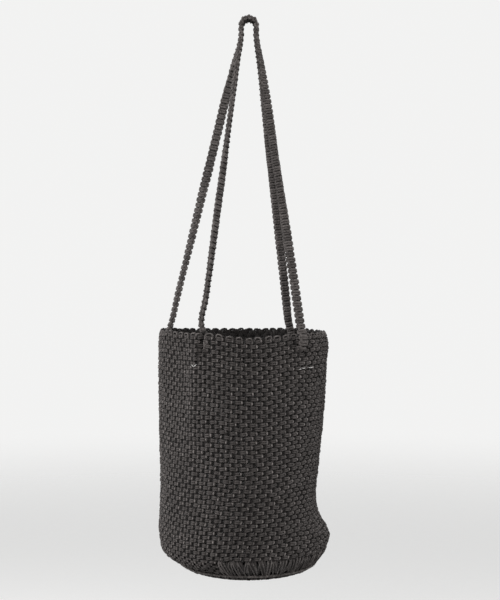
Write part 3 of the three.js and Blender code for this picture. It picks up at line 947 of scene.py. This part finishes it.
def cotton_cord():
    """Matte charcoal cotton: twisted plies, short fibres, and knots that took the dye a little unevenly,
    with painted shade in the hollows and painted light on the crowns.
    """
    material, s = new_finish("charcoal_cotton_cord")
    place = s.add("ShaderNodeTexCoord", out="Object")

    def grain(kind):
        sockets = {"Vector": place, "Scale": kind.scale, "Detail": kind.detail}
        return s.add("ShaderNodeTexNoise", {}, sockets, "Fac")

    plies = twisted(s, CORD_PLIES)
    fibres, lumps, patches = grain(FIBRES), grain(LUMPS), grain(PATCHES)
    low, high = FIBRE_ENDS
    ends = s.add("ShaderNodeMapRange", {}, {"Value": fibres, "From Min": low, "From Max": high})
    shade = s.add("ShaderNodeAttribute", {"attribute_name": "knot_shade"}, out="Fac")
    exposure = s.add("ShaderNodeAttribute", {"attribute_name": "exposure"}, out="Fac")
    uneven = patches * PATCHES.tone + lumps * LUMPS.tone + fibres * FIBRES.tone
    tone = shade * KNOT_TONE + uneven + plies * PLY_TONE + ends * END_TONE - TONE_SHIFT
    dyed = s.blend(tone, DYE_DARK, DYE_LIGHT)
    # Painted shade and light: where a point's painted share of light is low, the dye gives way to the dark
    # shade colours
    hollow = s.blend(exposure / HOLLOW_EXPOSURE, PAINTED_SHADE_DARK, PAINTED_SHADE_LIGHT)
    colour = s.blend((exposure - HOLLOW_EXPOSURE) / (1 - HOLLOW_EXPOSURE), hollow, dyed)
    height = plies * PLY_RELIEF + lumps * LUMPS.relief + fibres * FIBRES.relief
    relief = s.add("ShaderNodeBump", {}, {"Strength": 0.8, "Distance": 0.0007, "Height": height})
    shader = s.add("ShaderNodeBsdfPrincipled", {}, {
        "Base Color": colour,
        "Roughness": 0.9 - fibres * 0.1,
        "Sheen Weight": 0.1,
        "Sheen Roughness": 0.4,
        "Specular IOR Level": 0.1,
        "Normal": relief,
    })
    s.add("ShaderNodeOutputMaterial", {}, {"Surface": shader})
    return material


def white_thread():
    material, s = new_finish("white_thread")
    plies = twisted(s, THREAD_PLIES)
    # painted shade in the grooves between the plies
    colour = s.blend(plies, THREAD_DARK, THREAD_LIGHT)
    relief = s.add("ShaderNodeBump", {}, {"Strength": 0.5, "Distance": 0.0002, "Height": plies})
    shader = s.add("ShaderNodeBsdfPrincipled", {}, {
        "Base Color": colour,
        "Roughness": 0.6,
        "Normal": relief,
    })
    s.add("ShaderNodeOutputMaterial", {}, {"Surface": shader})
    return material


# Pieces of the bag

Loom = namedtuple("Loom", "tree cloth finish")


def on_bag(piece, node):
    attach(piece, "root")
    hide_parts(node)


def rounds(name, loom, pattern, lay, top, rows=1, first_row=0, stagger=0.0, arc=None):
    """Rows of a pattern right round the cloth, or over an arc of it."""
    arc = arc or Arc(0, lay.columns)
    return lay_knots(
        name, loom.tree, knot=pattern, surface=loom.cloth, finish=loom.finish,
        first_column=arc.first, columns=arc.count, first_row=first_row, rows=rows,
        column_pitch=CLOTH_ROUND / lay.columns * MM, row_pitch=ROW_PITCH * MM, stagger=stagger,
        top=top * MM, width=CLOTH_ROUND * MM, low=CLOTH_LOW * MM, high=CLOTH_ABOVE * MM,
        stretch=lay.stretch, looseness=lay.loose * MM, seed=lay.seed,
    )


def paint_pleat_shade(piece, wide, narrow):
    """Paints deep shade into the pleat's colour, of one half width at the rim and one at its foot, and
    paints light on its lip.
    """
    mesh = piece.data
    points, share = np.empty(3 * len(mesh.vertices)), np.empty(len(mesh.vertices))
    mesh.vertices.foreach_get("co", points)
    exposure = mesh.attributes["exposure"].data
    exposure.foreach_get("value", share)
    x, y, z = points.reshape(-1, 3).T / MM
    across = (np.arctan2(x - BAG_X, -y) - np.radians(pleat_middle(z))) * WALL_SECTIONS[0].front
    rim = rim_height(PLEAT_ANGLE)
    below, above = PLEAT_SHADE_TOP
    depth = smoothstep(PLEAT_SHADE_Z, PLEAT_SHADE_Z + PLEAT_TAPER, z)
    depth = depth * (1 - smoothstep(rim + below, rim + above, z))
    half = narrow + (wide - narrow) * np.clip((z - PLEAT_SHADE_Z) / (rim - PLEAT_SHADE_Z), 0, 1)
    groove = depth * np.exp(-((across / half) ** PLEAT_SHADE_STEEP))
    lip = depth * np.exp(-(((across - half - PLEAT_LIP_HALF) / PLEAT_LIP_HALF) ** 2))
    exposure.foreach_set("value", (share + lip * (1 - share)) * (1 - groove))


def make_wall(loom):
    """Staggered rows of square knots in bands: the first bends into the pleat and the last goes on lower."""
    knot, bent_knot = wall_knot(), pleated_knot()

    def wall_rows(name, pattern, lay, first, last, arc=None):
        return rounds(name, loom, pattern, lay, FIRST_ROW, last - first, first, KNOT_STAGGER, arc)

    edges = [round(KNOT_ROWS * band / KNOT_BANDS) for band in range(KNOT_BANDS + 1)]
    for band, (first, last) in enumerate(zip(edges, edges[1:])):
        name = f"wall_knots_{band + 1}"
        pleated, lowest = first == 0, last == KNOT_ROWS
        lay = WALL_LAY._replace(seed=WALL_LAY.seed + band)
        parts = [wall_rows(name, knot, lay, first, last, BESIDE_PLEAT if pleated else None)]
        if pleated:
            parts.append(wall_rows("pleat_knots", bent_knot, PLEAT_LAY, first, last, PLEAT_ARC))
        if lowest:
            parts.append(wall_rows("low_knots", knot, LOW_LAY, last, last + LOW_ROWS, LOW_ARC))
        piece = joined(name, parts)
        if pleated:
            # painted shade in the pleat, and painted light on its lip
            paint_pleat_shade(piece, PLEAT_SHADE, PLEAT_SHADE_FOOT)
        on_bag(piece, "bag_wall")
    clear(knot, bent_knot)


def make_rim(loom):
    loop = rim_loop()
    parts = [
        rounds("rim_loops", loom, loop, RIM_LAY, 0, arc=RIM_ARC),
        rounds("pushed_loop", loom, loop, PUSHED_LAY, 0, arc=PUSHED_ARC),
    ]
    on_bag(joined("rim_loops", parts), "edge_loops")
    clear(loop)


def make_foot(loom):
    straight, slack = foot_cord(), loose_foot_cord()
    middle = -WALL_LENGTH - FOOT_LENGTH / 2
    parts = [
        rounds("foot_straight", loom, straight, FOOT_LAY, middle, arc=FOOT_ARC),
        rounds("foot_slack", loom, slack, SLACK_LAY, middle - SLACK_DROP, arc=SLACK_ARC),
    ]
    on_bag(joined("foot_cords", parts), "foot_band")
    clear(straight, slack)


def make_base_ring(loom):
    hitch = ring_hitch()
    on_bag(rounds("base_ring_hitches", loom, hitch, RING_LAY, RING_DOWN), "base_ring")
    clear(hitch)


def make_base(loom):
    """Rounds of the wall's knots, fewer and wider on the flat cloth towards the middle."""
    knot = wall_knot()
    parts = []
    for i in range(BASE_ROUNDS):
        radius = BASE_LENGTH - BASE_FIRST - BASE_PITCH * i
        length = 2 * math.pi * radius
        columns = max(BASE_LEAST, round(length / BASE_KNOT))
        lay = Lay(columns, CLOTH_ROUND / length * BASE_STRETCH, BASE_LOOSE, BASE_SEED + i)
        parts.append(rounds(f"base_{i}", loom, knot, lay, CLOTH_LOW + radius, stagger=KNOT_STAGGER))
    on_bag(joined("base_knots", parts), "base")
    clear(knot)


def stopper_cords(strap):
    """An overhand knot, inside the bag, in each end of a strap that goes in through the wall."""
    points = strap_path(strap)[0]
    turns = np.linspace(0, 2 * math.pi, STOPPER_STATIONS)
    knot = np.stack([
        np.sin(turns) + 2 * np.sin(2 * turns),
        np.cos(turns) - 2 * np.cos(2 * turns),
        -STOPPER_LIFT * np.sin(3 * turns),
    ], axis=-1)
    ends = [(strap.left, points[0]), (strap.right, points[-1])]
    places = [place for end, place in ends if end.seat != "inside"]
    return [Cord(place + STOPPER_REACH * knot, STOPPER_CORD, 8) for place in places]


def make_straps(loom):
    knot = strap_knot()
    for i, (name, strap) in enumerate(STRAPS.items()):
        strip, length = strap_surface(name)
        parts = [lay_knots(
            name + "_knots", loom.tree, knot=knot, surface=strip, finish=loom.finish,
            columns=1, rows=int(length / STRAP_KNOT),
            column_pitch=RIBBON * MM, row_pitch=STRAP_KNOT * MM, top=-STRAP_KNOT / 2 * MM,
            width=RIBBON * MM, low=-length * MM, high=0.0,
            stretch=1.0, looseness=STRAP_LOOSE * MM, seed=STRAP_SEED + i,
        )]
        stoppers = stopper_cords(strap)
        if stoppers:
            parts.append(pattern_object(name + "_stoppers", stoppers, even_exposure))
            parts[-1].data.materials.append(loom.finish)
        piece = joined(name + "_knots", parts)
        if strap.left.seat == "pleat":
            # painted shade on the strap where it goes down into the pleat
            paint_pleat_shade(piece, STRAP_THICK, STRAP_THICK)
        on_bag(piece, name)
        clear(strip)
    clear(knot)


def make_tacks(finish):
    """Short white stitches that were left in the wall where the strap ends are fixed."""
    cords = []
    for tack in TACKS:
        rim = float(rim_height(tack.angle))
        radius = float(plain_radius(tack.angle, tack.z))
        path = []
        for t in np.linspace(-1, 1, TACK_STATIONS):
            angle = tack.angle + math.degrees(t * tack.run / 2 / radius)
            down = (tack.z + t * tack.rise / 2 - rim) * WALL_LENGTH / (rim - FOOT_TOP_Z)
            middle, out = cloth_frame(np.array(angle), np.array(down))
            path.append(middle + out * (TACK_PROUD - TACK_DIVE * t**TACK_DIVE_POWER))
        cords.append(Cord(path, TACK_CORD, 6))
    piece = pattern_object("tacking_stitches", cords, even_exposure)
    piece.data.materials.append(finish)
    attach(piece, "root")


def make_bag():
    loom = Loom(knots_on_surface_tree(), cloth_surface(), cotton_cord())
    make_wall(loom)
    make_rim(loom)
    make_foot(loom)
    make_base_ring(loom)
    make_base(loom)
    make_straps(loom)
    make_tacks(white_thread())
    clear(loom.cloth)


# Stage, light and camera


def make_floor():
    """A pale floor far below the bag, which fades out to the pale studio before its rim."""
    turns = np.linspace(0, 2 * math.pi, FLOOR_SIDES, endpoint=False)
    mesh = bpy.data.meshes.new("floor")
    rim = [(FLOOR_RADIUS * math.cos(a), FLOOR_RADIUS * math.sin(a), FLOOR_Z) for a in turns]
    mesh.from_pydata(rim, [], [range(len(rim))])
    floor = bpy.data.objects.new("floor", mesh)
    bpy.context.scene.collection.objects.link(floor)
    material, s = new_finish("pale_floor")
    place = s.add("ShaderNodeSeparateXYZ", {}, {0: s.add("ShaderNodeTexCoord", out="Object")})
    reach = (place.out("X") * place.out("X") + place.out("Y") * place.out("Y")).math("SQRT")
    start, end = FLOOR_FADE
    fade = s.add("ShaderNodeMapRange", {"interpolation_type": "SMOOTHSTEP"}, {
        "Value": reach,
        "From Min": start,
        "From Max": end,
    })
    matte = {"Roughness": 0.9, "Specular IOR Level": 0.1}
    pale = s.add("ShaderNodeBsdfPrincipled", {}, {"Base Color": PALE, **matte})
    dim = s.add("ShaderNodeBsdfPrincipled", {}, {"Base Color": FLOOR_BOUNCE, **matte})
    glow = s.add("ShaderNodeEmission", {}, {"Color": PALE, "Strength": FLOOR_GLOW})
    seen = s.add("ShaderNodeLightPath", out="Is Camera Ray")
    lit = s.add("ShaderNodeAddShader", {}, {0: pale, 1: glow})
    floor_seen = s.add("ShaderNodeMixShader", {}, {0: seen, 1: dim, 2: lit})
    clear_air = s.add("ShaderNodeBsdfTransparent")
    shader = s.add("ShaderNodeMixShader", {}, {0: fade, 1: floor_seen, 2: clear_air})
    s.add("ShaderNodeOutputMaterial", {}, {"Surface": shader})
    mesh.materials.append(material)


def make_lamp(lamp):
    light = bpy.data.lights.new(lamp.name, "AREA")
    light.shape = "DISK"
    light.size = lamp.size
    light.energy = lamp.power
    holder = bpy.data.objects.new(lamp.name, light)
    holder.location = lamp.place
    holder.rotation_euler = (Vector(LAMP_TARGET) - Vector(lamp.place)).to_track_quat("-Z", "Y").to_euler()
    bpy.context.scene.collection.objects.link(holder)


def make_world():
    """A pale studio all round, dimmer as a light than it looks."""
    world = bpy.data.worlds.new("studio")
    bpy.context.scene.world = world
    world.use_nodes = True
    world.node_tree.nodes.clear()
    s = Maker(world.node_tree)
    seen = s.add("ShaderNodeLightPath", out="Is Camera Ray")
    glow = s.add("ShaderNodeBackground", {}, {"Color": PALE, "Strength": STUDIO_GLOW})
    shown = s.add("ShaderNodeBackground", {}, {"Color": PALE, "Strength": 1.0})
    studio = s.add("ShaderNodeMixShader", {}, {0: seen, 1: glow, 2: shown})
    s.add("ShaderNodeOutputWorld", {}, {"Surface": studio})


def make_camera():
    camera = bpy.data.cameras.new("camera")
    camera.lens = LENS
    camera.sensor_width = SENSOR
    holder = bpy.data.objects.new("camera", camera)
    holder.location = CAMERA_PLACE
    holder.rotation_euler = (math.pi / 2, 0, 0)
    bpy.context.scene.collection.objects.link(holder)
    bpy.context.scene.camera = holder


make_bag()
make_floor()
for lamp in LAMPS:
    make_lamp(lamp)
make_world()
make_camera()
bpy.context.scene.view_settings.view_transform = "Standard"
